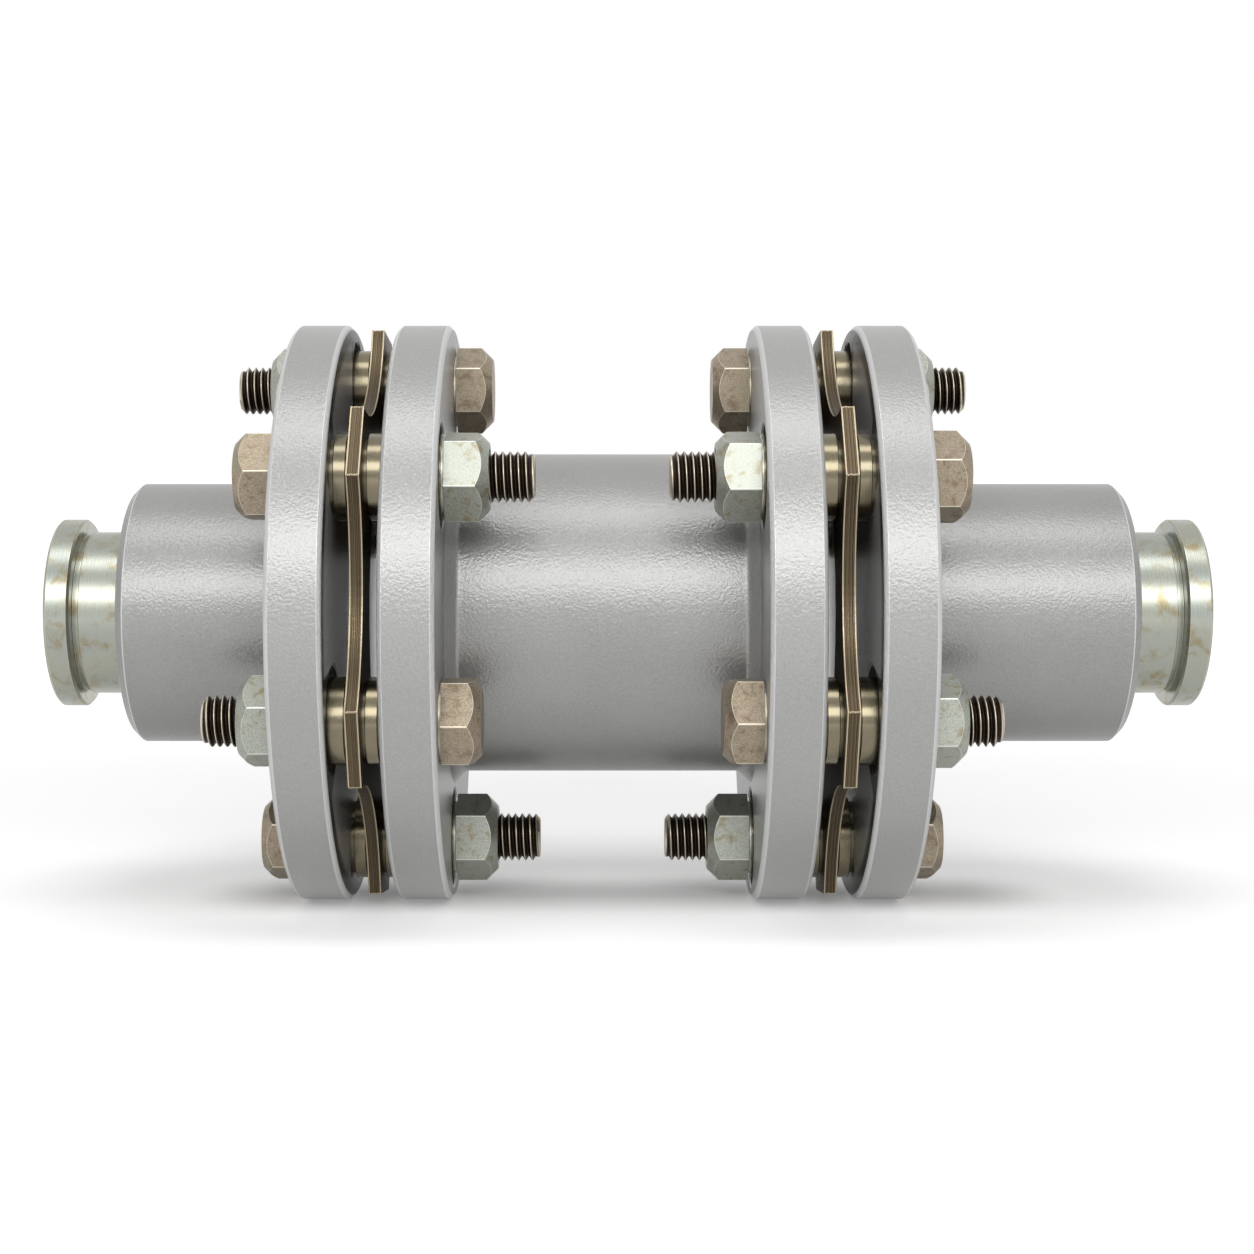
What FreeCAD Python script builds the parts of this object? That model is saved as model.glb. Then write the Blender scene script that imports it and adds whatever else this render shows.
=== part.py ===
import FreeCAD, Part
import Sketcher
import os

# A double disc coupling with a centre spacer. The row frame has +X along the shafts, +Z up,
# and its origin in the middle of the whole coupling. Each half is described in its own frame
# first: x runs outward from the middle of the spacer, and the first bolt is at the top. The
# sides then turn those halves into place.

# Driving dimensions, millimetres and degrees
SIZES = (
    # flanges of the hubs and of the spacer
    ("flange_diameter", 145),
    ("flange_thickness", 13),
    ("flange_chamfer", 1),
    ("flange_gap", 12.25),
    # centre spacer: a tube welded to two flanges
    ("spacer_length", 101),
    ("tube_diameter", 80.5),
    ("tube_bore", 60),
    ("weld_leg", 3),
    # hubs
    ("barrel_diameter", 65.5),
    ("left_hub_length", 55),
    ("right_hub_length", 67.5),
    ("barrel_chamfer", 2),
    ("barrel_fillet", 2.5),
    ("hub_bore", 41),
    # plated sleeves that carry the shafts inside the hubs
    ("sleeve_fit", 0.02),
    ("sleeve_reach", 13),
    ("rim_diameter", 47.4),
    ("rim_thickness", 6.3),
    ("rim_chamfer", 0.6),
    ("relief_width", 1.6),
    ("relief_depth", 0.8),
    ("shaft_bore", 30),
    ("bore_chamfer", 1),
    ("keyway_width", 8),
    ("keyway_depth", 3.3),
    # bolt circle
    ("bolt_circle", 114),
    ("bolt_angle", -7.5),
    # bolts and nuts
    ("bolt_diameter", 12),
    ("short_bolt_length", 55),
    ("long_bolt_length", 60),
    ("bolt_point", 1.2),
    ("bolt_play", 0.5),
    ("across_flats", 19),
    ("head_height", 9.6),
    ("nut_height", 10.8),
    ("hexagon_land", 15.8),
    ("hexagon_slope", 45),
    ("thread_play", 0.05),
    # seat washers, and bushes that pass through the far flange in wide holes
    ("washer_diameter", 20.4),
    ("bush_diameter", 20.4),
    ("hole_play", 1.5),
    ("hub_nut_depth", 2.5),
    ("spacer_bush_proud", 0.4),
    ("seat_width", 0.8),
    ("seat_step", 1.2),
    # disc packs
    ("pack_thickness", 3.2),
    ("lobe_reach", 70.8),
    ("lobe_width", 19.8),
    ("waist_radius", 56.5),
    ("disc_bore", 84),
)

# Thin steel discs in each pack
LAMINATIONS = 4

# Bolts of one pack, by the side that their head is on: the place of each round the circle, and
# how far its head and its nut happen to be turned, in degrees
SPACER_HEADS = ((0, 8, 20), (120, 35, 3), (240, 38.5, 15))
HUB_HEADS = ((60, 16, 52.5), (180, 12, 59.5), (300, 30, 48.5))

# Planes across the axis of one half, from the middle outward
SPACER_BACK = "(Sizes.spacer_length / 2 - Sizes.flange_thickness)"
SPACER_FACE = "(Sizes.spacer_length / 2)"
PACK_MIDDLE = "(Sizes.spacer_length / 2 + Sizes.flange_gap / 2)"
HUB_FACE = "(Sizes.spacer_length / 2 + Sizes.flange_gap)"
HUB_BACK = "(Sizes.spacer_length / 2 + Sizes.flange_gap + Sizes.flange_thickness)"
SPACER_NUT_SEAT = f"({SPACER_BACK} - Sizes.spacer_bush_proud)"
HUB_NUT_SEAT = f"({HUB_BACK} - Sizes.hub_nut_depth)"

# Sizes that follow from the driving ones
WASHER_THICKNESS = "((Sizes.flange_gap - Sizes.pack_thickness) / 2)"
BOLT_HOLE = "(Sizes.bolt_diameter + Sizes.bolt_play)"
ACROSS_CORNERS = "(Sizes.across_flats / cos(30 deg))"
CLEARANCE_HOLE = f"(max({ACROSS_CORNERS}; Sizes.bush_diameter) + 2 * Sizes.hole_play)"
BOLT_RADIUS = "(Sizes.bolt_circle / 2)"
CENTRE_SHIFT = "((Sizes.left_hub_length - Sizes.right_hub_length) / 2)"

doc = FreeCAD.newDocument("DiscCoupling")
sheet = doc.addObject("Spreadsheet::Sheet", "Sizes")
for row, (alias, size) in enumerate(SIZES, start=1):
    sheet.set(f"A{row}", alias)
    sheet.set(f"B{row}", str(size))
    sheet.setAlias(f"B{row}", alias)
doc.recompute()


def value(expression):
    """What an expression on the sheet comes to, as a plain number."""
    return float(sheet.evalExpression(expression))


def plane(body, role):
    """One of a body's own origin planes."""
    return next(datum for datum in body.Origin.OriginFeatures if datum.Role == role)


def new_sketch(body, name, role):
    sketch = body.newObject("Sketcher::SketchObject", name)
    sketch.AttachmentSupport = [(plane(body, role), "")]
    sketch.MapMode = "FlatFace"
    return sketch


def bind(sketch, constraint, expression):
    """Adds a constraint and ties its value to the sheet."""
    index = sketch.addConstraint(constraint)
    sketch.setExpression(f"Constraints[{index}]", expression)


def place_point(sketch, geometry, point, across, up):
    """Holds a point at two expressions; "0" puts it on the axis."""
    origin, vertical, horizontal = (-1, 1), -2, -1
    if across == "0":
        sketch.addConstraint(Sketcher.Constraint("PointOnObject", geometry, point, vertical))
    else:
        bind(sketch, Sketcher.Constraint("DistanceX", *origin, geometry, point, value(across)), across)
    if up == "0":
        sketch.addConstraint(Sketcher.Constraint("PointOnObject", geometry, point, horizontal))
    else:
        bind(sketch, Sketcher.Constraint("DistanceY", *origin, geometry, point, value(up)), up)


def outline(body, name, role, corners):
    """A closed sketch of straight edges through corners given as pairs of expressions."""
    sketch = new_sketch(body, name, role)
    points = [FreeCAD.Vector(value(across), value(up), 0) for across, up in corners]
    count = len(points)
    for index in range(count):
        sketch.addGeometry(Part.LineSegment(points[index], points[(index + 1) % count]))
    for index in range(count):
        sketch.addConstraint(Sketcher.Constraint("Coincident", index, 2, (index + 1) % count, 1))
    for index, (across, up) in enumerate(corners):
        place_point(sketch, index, 1, across, up)
    return sketch


def circle(body, name, diameter, across="0", up="0"):
    """A sketch of one circle, across the axis of the coupling."""
    sketch = new_sketch(body, name, "YZ_Plane")
    centre = FreeCAD.Vector(value(across), value(up), 0)
    radius = value(diameter) / 2
    sketch.addGeometry(Part.Circle(centre, FreeCAD.Vector(0, 0, 1), radius))
    if across == "0" and up == "0":
        sketch.addConstraint(Sketcher.Constraint("Coincident", 0, 3, -1, 1))
    else:
        place_point(sketch, 0, 3, across, up)
    bind(sketch, Sketcher.Constraint("Diameter", 0, 2 * radius), diameter)
    return sketch


def hexagon(body, name, across_flats, first_corner):
    """A sketch of a regular hexagon; its first corner is so many degrees from the top."""
    radius = f"({across_flats} / 2 / cos(30 deg))"
    corners = []
    for step in range(6):
        angle = (first_corner + 60 * step) % 360
        across = "0" if angle % 180 == 0 else f"{radius} * sin({angle} deg)"
        up = "0" if angle % 180 == 90 else f"{radius} * cos({angle} deg)"
        corners.append((across, up))
    return outline(body, name, "YZ_Plane", corners)


def revolve(body, name, corners):
    """Turns a profile of (x, radius) corners about the X axis into a solid."""
    solid = body.newObject("PartDesign::Revolution", name)
    solid.Profile = outline(body, f"{name}Profile", "XZ_Plane", corners)
    solid.ReferenceAxis = (solid.Profile[0], ["H_Axis"])
    solid.Angle = 360
    doc.recompute()
    return solid


def turn_groove(body, name, corners):
    """Turns a profile of (x, radius) corners about the X axis and cuts it away."""
    groove = body.newObject("PartDesign::Groove", name)
    groove.Profile = outline(body, f"{name}Profile", "XZ_Plane", corners)
    groove.ReferenceAxis = (groove.Profile[0], ["H_Axis"])
    groove.Angle = 360
    doc.recompute()
    return groove


def pad(body, name, sketch, length, backward=False):
    """Raises a sketch along X."""
    solid = body.newObject("PartDesign::Pad", name)
    solid.Profile = sketch
    solid.setExpression("Length", length)
    solid.Reversed = backward
    doc.recompute()
    return solid


def cut_through(body, name, sketch):
    """Cuts a sketch through the whole piece, both ways along X."""
    pocket = body.newObject("PartDesign::Pocket", name)
    pocket.Profile = sketch
    pocket.Type = "ThroughAll"
    pocket.Midplane = True
    doc.recompute()
    return pocket


def repeat(body, name, feature, count):
    """Repeats a feature evenly round the X axis."""
    pattern = body.newObject("PartDesign::PolarPattern", name)
    pattern.Originals = [feature]
    pattern.Axis = (feature.Profile[0], ["N_Axis"])
    pattern.Angle = 360
    pattern.Occurrences = count
    body.Tip = pattern
    doc.recompute()
    return pattern


def ring_edges(body, rings):
    """Names of the circular edges about the X axis at the given pairs of x and radius."""
    names = []
    for index, edge in enumerate(body.Shape.Edges, start=1):
        if not isinstance(edge.Curve, Part.Circle):
            continue
        centre = edge.Curve.Center
        for x, radius in rings:
            on_axis = abs(centre.y) < 1e-6 and abs(centre.z) < 1e-6
            if on_axis and abs(centre.x - x) < 1e-4 and abs(edge.Curve.Radius - radius) < 1e-4:
                names.append(f"Edge{index}")
    return names


def dress(body, name, kind, size, rings):
    """Puts a chamfer or a fillet on circular edges given as pairs of expressions."""
    places = [(value(x), value(radius)) for x, radius in rings]
    base = body.Tip
    edges = ring_edges(body, places)
    feature = body.newObject(f"PartDesign::{kind}", name)
    feature.Base = (base, edges)
    feature.setExpression("Size" if kind == "Chamfer" else "Radius", size)
    body.Tip = feature
    doc.recompute()
    return feature


def flange_holes(body, close_angle, wide_angle):
    """Three close holes for bolts and, between them, three wide ones for bushes."""
    for name, diameter, angle in (
        ("Close", BOLT_HOLE, close_angle),
        ("Wide", CLEARANCE_HOLE, wide_angle),
    ):
        across = "0" if angle == 0 else f"{BOLT_RADIUS} * sin({angle} deg)"
        sketch = circle(body, f"{name}Hole", diameter, across, f"{BOLT_RADIUS} * cos({angle} deg)")
        hole = cut_through(body, f"{name}Pocket", sketch)
        repeat(body, f"{name}Pattern", hole, 3)


def side_placement(side):
    """Where one half goes: turned to the bolts' angle, and on the left also end for end."""
    turn = "rotation(vector(1; 0; 0); Sizes.bolt_angle)"
    if side == "left":
        turn += " * rotation(vector(0; 0; 1); 180)"
    return f"placement(vector({CENTRE_SHIFT}; 0; 0); {turn})"


def make_spacer():
    """The tube and its two flanges, welded into one piece."""
    body = doc.addObject("PartDesign::Body", "centre_spacer")
    rim = "Sizes.flange_diameter / 2"
    tube = "Sizes.tube_diameter / 2"
    bore = "Sizes.tube_bore / 2"
    revolve(body, "Spacer", (
        (f"-{SPACER_FACE}", bore),
        (f"-{SPACER_FACE}", rim),
        (f"-{SPACER_BACK}", rim),
        (f"-{SPACER_BACK}", tube),
        (SPACER_BACK, tube),
        (SPACER_BACK, rim),
        (SPACER_FACE, rim),
        (SPACER_FACE, bore),
    ))
    flange_planes = (f"-{SPACER_FACE}", f"-{SPACER_BACK}", SPACER_BACK, SPACER_FACE)
    dress(body, "Rims", "Chamfer", "Sizes.flange_chamfer", [(x, rim) for x in flange_planes])
    dress(body, "Welds", "Chamfer", "Sizes.weld_leg", [(x, tube) for x in flange_planes[1:3]])
    flange_holes(body, close_angle=0, wide_angle=60)
    body.setExpression("Placement", side_placement("right"))
    return body


def make_hub(side):
    """A flanged hub, turned in one piece, with a plain bore for the sleeve."""
    body = doc.addObject("PartDesign::Body", f"{side}_hub")
    rim = "Sizes.flange_diameter / 2"
    barrel = "Sizes.barrel_diameter / 2"
    bore = "Sizes.hub_bore / 2"
    end = f"({HUB_FACE} + Sizes.{side}_hub_length)"
    revolve(body, "Hub", (
        (HUB_FACE, bore),
        (HUB_FACE, rim),
        (HUB_BACK, rim),
        (HUB_BACK, barrel),
        (end, barrel),
        (end, bore),
    ))
    dress(body, "Rim", "Chamfer", "Sizes.flange_chamfer", [(HUB_FACE, rim), (HUB_BACK, rim)])
    dress(body, "End", "Chamfer", "Sizes.barrel_chamfer", [(end, barrel)])
    dress(body, "Root", "Fillet", "Sizes.barrel_fillet", [(HUB_BACK, barrel)])
    flange_holes(body, close_angle=60, wide_angle=0)
    body.setExpression("Placement", side_placement(side))
    return body


def make_sleeve(side):
    """A plated sleeve in the hub's bore, with a rim outside, a relief beside it and a keyway."""
    body = doc.addObject("PartDesign::Body", f"{side}_bore_sleeve")
    neck = "((Sizes.hub_bore - Sizes.sleeve_fit) / 2)"
    floor = f"({neck} - Sizes.relief_depth)"
    rim = "(Sizes.rim_diameter / 2)"
    bore = "(Sizes.shaft_bore / 2)"
    rim_back = f"({HUB_FACE} + Sizes.{side}_hub_length + Sizes.sleeve_reach)"
    rim_face = f"({rim_back} + Sizes.rim_thickness)"
    relief = f"({rim_back} - Sizes.relief_width)"
    revolve(body, "Sleeve", (
        (HUB_FACE, bore),
        (HUB_FACE, neck),
        (relief, neck),
        (relief, floor),
        (rim_back, floor),
        (rim_back, rim),
        (rim_face, rim),
        (rim_face, bore),
    ))
    dress(body, "RimEdges", "Chamfer", "Sizes.rim_chamfer", [(rim_back, rim), (rim_face, rim)])
    dress(body, "BoreEdges", "Chamfer", "Sizes.bore_chamfer", [(HUB_FACE, bore), (rim_face, bore)])
    half_width = "Sizes.keyway_width / 2"
    top = f"{bore} + Sizes.keyway_depth"
    keyway = outline(body, "KeywayOutline", "YZ_Plane", (
        (f"-{half_width}", "0"),
        (half_width, "0"),
        (half_width, top),
        (f"-{half_width}", top),
    ))
    cut_through(body, "Keyway", keyway)
    body.setExpression("Placement", side_placement(side))
    return body


def chamfer_corners(body, name, end, inward):
    """Turns the corners of a hexagon down to a round land at one end; inward is along X."""
    land = "(Sizes.hexagon_land / 2)"
    outside = "Sizes.across_flats"
    slope = "tan(Sizes.hexagon_slope)"
    back = f"{end} {inward} ({outside} - {land}) * {slope}"
    turn_groove(body, name, ((end, land), (end, outside), (back, outside)))


def make_bolt(name):
    """A hexagon bolt: its head ends at x = 0 and its shank runs along +X. Threads are plain."""
    body = doc.addObject("PartDesign::Body", name)
    length = f"Sizes.{name}_length"
    head = hexagon(body, "HeadOutline", "Sizes.across_flats", 0)
    pad(body, "Head", head, "Sizes.head_height", backward=True)
    chamfer_corners(body, "HeadChamfer", "-Sizes.head_height", "+")
    pad(body, "Shank", circle(body, "ShankOutline", "Sizes.bolt_diameter"), length)
    dress(body, "Point", "Chamfer", "Sizes.bolt_point", [(length, "Sizes.bolt_diameter / 2")])
    return body


def make_nut():
    """A hexagon nut: it seats at x = 0 and runs along +X, chamfered at its outer end."""
    body = doc.addObject("PartDesign::Body", "nut")
    pad(body, "Block", hexagon(body, "BlockOutline", "Sizes.across_flats", 0), "Sizes.nut_height")
    chamfer_corners(body, "OuterChamfer", "Sizes.nut_height", "-")
    bore = circle(body, "BoreOutline", "Sizes.bolt_diameter + 2 * Sizes.thread_play")
    cut_through(body, "Bore", bore)
    return body


def make_washer():
    """A thick washer between a flange and the disc pack, turned down to a seat at both ends."""
    body = doc.addObject("PartDesign::Body", "washer")
    hole = f"{BOLT_HOLE} / 2"
    rim = "(Sizes.washer_diameter / 2)"
    seat = f"({rim} - Sizes.seat_step)"
    far_seat = f"({WASHER_THICKNESS} - Sizes.seat_width)"
    revolve(body, "Washer", (
        ("0", hole),
        ("0", seat),
        ("Sizes.seat_width", seat),
        ("Sizes.seat_width", rim),
        (far_seat, rim),
        (far_seat, seat),
        (WASHER_THICKNESS, seat),
        (WASHER_THICKNESS, hole),
    ))
    return body


def make_bush(name, length):
    """A bush from the disc pack, where it is turned down, through the far flange to the nut."""
    body = doc.addObject("PartDesign::Body", name)
    hole = f"{BOLT_HOLE} / 2"
    rim = "(Sizes.bush_diameter / 2)"
    seat = f"({rim} - Sizes.seat_step)"
    revolve(body, "Bush", (
        ("0", hole),
        ("0", seat),
        ("Sizes.seat_width", seat),
        ("Sizes.seat_width", rim),
        (length, rim),
        (length, hole),
    ))
    return body


def make_disc():
    """One lamination: six square-ended lobes at the bolts, with round waists between them."""
    body = doc.addObject("PartDesign::Body", "disc")
    thickness = f"Sizes.pack_thickness / {LAMINATIONS}"
    blank = hexagon(body, "BlankOutline", "2 * Sizes.lobe_reach", 30)
    pad(body, "Blank", blank, thickness)
    half_width = "(Sizes.lobe_width / 2)"
    # The waist arc runs from corner to corner of two lobes and touches the waist radius.
    corner_square = f"(Sizes.lobe_reach ^ 2 + {half_width} ^ 2)"
    chord_middle = f"(Sizes.lobe_reach * cos(30 deg) + {half_width} * sin(30 deg))"
    waist_centre = (
        f"(({corner_square} - Sizes.waist_radius ^ 2)"
        f" / 2 / ({chord_middle} - Sizes.waist_radius))"
    )
    waist_diameter = f"2 * ({waist_centre} - Sizes.waist_radius)"
    waist_sketch = circle(
        body, "WaistOutline", waist_diameter,
        f"{waist_centre} * sin(30 deg)", f"{waist_centre} * cos(30 deg)",
    )
    waist = cut_through(body, "Waist", waist_sketch)
    repeat(body, "Waists", waist, 6)
    cut_through(body, "Middle", circle(body, "MiddleOutline", "Sizes.disc_bore"))
    hole = cut_through(body, "BoltHole", circle(body, "BoltHoleOutline", BOLT_HOLE, "0", BOLT_RADIUS))
    repeat(body, "BoltHoles", hole, 6)
    return body


def copy_of(master, name, x, radius, angle, twist, flipped):
    """A linked copy at an angle round the axis, turned on itself, facing out or in along X."""
    link = doc.addObject("App::Link", name)
    link.LinkedObject = master
    place = f"vector({x}; -{radius} * sin({angle} deg); {radius} * cos({angle} deg))"
    turn = f"rotation(vector(1; 0; 0); {angle + twist})"
    if flipped:
        turn += " * rotation(vector(0; 0; 1); 180)"
    link.setExpression("Placement", f"placement({place}; {turn})")
    return link


def group(side, name, links):
    """Separate solids of one kind, kept together as one sub-part."""
    compound = doc.addObject("Part::Compound", f"{side}_{name}")
    compound.Links = links
    compound.setExpression("Placement", side_placement(side))
    return compound


def make_fasteners(side):
    """Bolts, nuts, seat washers and bushes of one disc pack, in groups by the head's side."""
    sign = -1 if side == "left" else 1
    pack_outer = f"({PACK_MIDDLE} + Sizes.pack_thickness / 2)"
    pack_inner = f"({PACK_MIDDLE} - Sizes.pack_thickness / 2)"
    # For each side that the heads are on: the far side, the bolts' places, the bolt and bush that
    # suit them, the planes of head, washer, bush and nut, and whether the pieces face inward
    layouts = (
        ("spacer", "hub", SPACER_HEADS, short_bolt, hub_bush,
         (SPACER_BACK, SPACER_FACE, pack_outer, HUB_NUT_SEAT), False),
        ("hub", "spacer", HUB_HEADS, long_bolt, spacer_bush,
         (HUB_BACK, HUB_FACE, pack_inner, SPACER_NUT_SEAT), True),
    )
    groups = []
    for near, far, bolts, bolt, bush, planes, inward in layouts:
        head_x, washer_x, bush_x, nut_x = planes
        kinds = (
            (bolt, f"{near}_side_bolts", head_x, 1),
            (washer, f"{near}_side_washers", washer_x, 0),
            (bush, f"{far}_side_bushes", bush_x, 0),
            (nut, f"{far}_side_nuts", nut_x, 2),
        )
        for master, name, x, twist_column in kinds:
            links = []
            for number, row in enumerate(bolts, start=1):
                twist = sign * row[twist_column] if twist_column else 0
                link_name = f"{side}_{name}_{number}"
                links.append(copy_of(master, link_name, x, BOLT_RADIUS, row[0], twist, inward))
            groups.append(group(side, name, links))
    return groups


def make_pack(side):
    """A pack of thin discs, face to face."""
    links = []
    for number in range(LAMINATIONS):
        share = f"({number} / {LAMINATIONS} - 1 / 2)"
        x = f"({PACK_MIDDLE} + Sizes.pack_thickness * {share})"
        links.append(copy_of(disc, f"{side}_disc_{number + 1}", x, "0", 0, 0, False))
    return group(side, "disc_pack", links)


short_bolt = make_bolt("short_bolt")
long_bolt = make_bolt("long_bolt")
nut = make_nut()
washer = make_washer()
hub_bush = make_bush("hub_bush", f"({HUB_NUT_SEAT} - {PACK_MIDDLE} - Sizes.pack_thickness / 2)")
spacer_bush = make_bush("spacer_bush", f"({PACK_MIDDLE} - Sizes.pack_thickness / 2 - {SPACER_NUT_SEAT})")
disc = make_disc()

subparts = [make_spacer()]
for side in ("left", "right"):
    subparts.append(make_hub(side))
    subparts.append(make_sleeve(side))
    subparts.append(make_pack(side))
    subparts.extend(make_fasteners(side))
doc.recompute()

for item in doc.Objects:
    if "Invalid" in item.State or "Error" in item.State:
        raise RuntimeError(f"{item.Name} failed: {item.State}")
for part in subparts:
    if part.Shape.isNull() or not part.Shape.isValid() or not part.Shape.Solids:
        raise RuntimeError(f"{part.Label} has no valid shape")

os.makedirs("parts", exist_ok=True)
for part in subparts:
    part.Shape.exportStep(f"parts/{part.Label}.step")
    print(part.Label, len(part.Shape.Solids), round(part.Shape.Volume))
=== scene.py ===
from math import atan, cos, degrees, pi, radians, sin, sqrt, tan

import bmesh
import bpy
from mathutils import Matrix, Vector


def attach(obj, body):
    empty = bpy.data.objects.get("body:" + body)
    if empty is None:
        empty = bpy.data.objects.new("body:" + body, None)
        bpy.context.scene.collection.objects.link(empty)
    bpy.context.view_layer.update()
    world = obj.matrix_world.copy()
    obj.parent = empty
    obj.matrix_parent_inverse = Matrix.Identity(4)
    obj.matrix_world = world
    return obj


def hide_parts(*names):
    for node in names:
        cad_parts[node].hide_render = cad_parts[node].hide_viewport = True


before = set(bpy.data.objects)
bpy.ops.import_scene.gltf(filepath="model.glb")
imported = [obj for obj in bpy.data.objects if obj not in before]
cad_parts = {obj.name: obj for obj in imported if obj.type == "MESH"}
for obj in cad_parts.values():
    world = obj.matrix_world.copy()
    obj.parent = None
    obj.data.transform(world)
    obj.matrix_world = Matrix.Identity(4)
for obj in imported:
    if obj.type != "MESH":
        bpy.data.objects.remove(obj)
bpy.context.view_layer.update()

# Sizes in metres, the same as the construction's. Each half of the coupling is described in
# its own frame: x runs outward from the middle of the spacer and the first bolt is at the top.
MM = 0.001
FLANGE_RADIUS = 72.5 * MM
FLANGE_THICKNESS = 13 * MM
FLANGE_GAP = 12.25 * MM
FLANGE_CHAMFER = 1 * MM
SPACER_LENGTH = 101 * MM
TUBE_RADIUS = 40.25 * MM
TUBE_BORE_RADIUS = 30 * MM
WELD_LEG = 3 * MM
BARREL_RADIUS = 32.75 * MM
BARREL_CHAMFER = 2 * MM
BARREL_FILLET = 2.5 * MM
HUB_LENGTHS = {"left": 55 * MM, "right": 67.5 * MM}
HUB_BORE_RADIUS = 20.5 * MM
SLEEVE_FIT = 0.01 * MM
SLEEVE_REACH = 13 * MM
SLEEVE_RIM_RADIUS = 23.7 * MM
SLEEVE_RIM_THICKNESS = 6.3 * MM
SLEEVE_RIM_CHAMFER = 0.6 * MM
RELIEF_WIDTH = 1.6 * MM
RELIEF_DEPTH = 0.8 * MM
SHAFT_BORE_RADIUS = 15 * MM
BORE_CHAMFER = 1 * MM
KEYWAY_WIDTH = 8 * MM
KEYWAY_DEPTH = 3.3 * MM
BOLT_COUNT = 6
BOLT_STEP = 2 * pi / BOLT_COUNT
BOLT_CIRCLE_RADIUS = 57 * MM
BOLT_ANGLE = radians(-7.5)
BOLT_RADIUS = 6 * MM
SHORT_BOLT_LENGTH = 55 * MM
LONG_BOLT_LENGTH = 60 * MM
BOLT_POINT = 1.2 * MM
THREAD_LENGTH = 30 * MM
THREAD_PITCH = 1.75 * MM
THREAD_DEPTH = 1.05 * MM
BOLT_HOLE_RADIUS = 6.25 * MM
HOLE_CHAMFER = 0.4 * MM
APOTHEM = 9.5 * MM
HOLE_PLAY = 1.5 * MM
CLEARANCE_HOLE_RADIUS = APOTHEM / cos(pi / 6) + HOLE_PLAY
HEAD_HEIGHT = 9.6 * MM
NUT_HEIGHT = 10.8 * MM
NUT_BORE_RADIUS = 6.05 * MM
NUT_COUNTERSINK = 0.7 * MM
LAND_RADIUS = 7.9 * MM
LAND_SLOPE = radians(45)
SEAT_FACE_RADIUS = 9 * MM
SEAT_FACE_HEIGHT = 0.4 * MM
WASHER_RADIUS = 10.2 * MM
HUB_NUT_DEPTH = 2.5 * MM
SPACER_BUSH_PROUD = 0.4 * MM
SEAT_WIDTH = 0.8 * MM
SEAT_STEP = 1.2 * MM
PACK_THICKNESS = 3.2 * MM
LAMINATIONS = 8
DISC_SLIP = 0.06 * MM
LOBE_REACH = 70.8 * MM
LOBE_HALF_WIDTH = 9.9 * MM
WAIST_RADIUS = 56.5 * MM
DISC_BORE_RADIUS = 42 * MM

# Planes across the axis of one half, from the middle outward
SPACER_FACE = SPACER_LENGTH / 2
SPACER_BACK = SPACER_FACE - FLANGE_THICKNESS
HUB_FACE = SPACER_FACE + FLANGE_GAP
HUB_BACK = HUB_FACE + FLANGE_THICKNESS
PACK_MIDDLE = SPACER_FACE + FLANGE_GAP / 2
PACK_OUTER = PACK_MIDDLE + PACK_THICKNESS / 2
PACK_INNER = PACK_MIDDLE - PACK_THICKNESS / 2
WASHER_THICKNESS = (FLANGE_GAP - PACK_THICKNESS) / 2
HUB_NUT_SEAT = HUB_BACK - HUB_NUT_DEPTH
SPACER_NUT_SEAT = SPACER_BACK - SPACER_BUSH_PROUD

# Rounding of the edges
CHAMFER_ROUNDING = 0.25 * MM
TURNED_ROUNDING = 0.15 * MM
HEXAGON_ROUNDING = 0.35 * MM
LAMINATION_BEVEL = 0.05 * MM
# Points this far from a corner end the painted highlight along its edge: on discs and bolts, and on
# sleeves
CORNER_LINE = 0.3 * MM
EDGE_LINE = 0.7 * MM

# How finely the round pieces are divided
FLANGE_SEGMENTS = 192
SLEEVE_SEGMENTS = 128
WASHER_SEGMENTS = 96
HOLE_SEGMENTS = 64
ROUNDING_STEPS = 4
WAIST_STEPS = 24
SHARP_ANGLE = radians(28)
RIM_BEND = radians(80)
WELD_DISTANCE = 1e-6

# Turns of each bolt's head and nut on its own axis, in degrees, three bolts to a group
HEAD_TURNS = {"spacer": (8, 35, 38.5), "hub": (16, 12, 30)}
NUT_TURNS = {"spacer": (20, 3, 15), "hub": (52.5, 59.5, 48.5)}
FIRST_ANGLES = {"spacer": 0, "hub": BOLT_STEP}

CENTRE_SHIFT = (HUB_LENGTHS["left"] - HUB_LENGTHS["right"]) / 2
RIGHT_SIDE = Matrix.Translation((CENTRE_SHIFT, 0, 0)) @ Matrix.Rotation(BOLT_ANGLE, 4, "X")
SIDES = {"left": RIGHT_SIDE @ Matrix.Rotation(pi, 4, "Z"), "right": RIGHT_SIDE}


# Shader node helpers

def feed(tree, socket, source):
    """Links a socket to another one, or gives it a plain value."""
    if isinstance(source, bpy.types.NodeSocket):
        tree.links.new(source, socket)
    else:
        socket.default_value = source


def add_node(tree, kind, sockets=None, **settings):
    """A node with its settings, whose inputs are set to values or linked to other sockets."""
    node = tree.nodes.new(kind)
    for name, setting in settings.items():
        setattr(node, name, setting)
    for name, source in (sockets or {}).items():
        feed(tree, node.inputs[name], source)
    return node


def arithmetic(tree, operation, *values):
    """The outcome of a maths node for numbers or sockets."""
    node = add_node(tree, "ShaderNodeMath", dict(enumerate(values)), operation=operation)
    return node.outputs[0]


def opaque(colour):
    """A colour of three numbers with its alpha; a socket stays as it is."""
    return colour if isinstance(colour, bpy.types.NodeSocket) else (*colour, 1)


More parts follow.
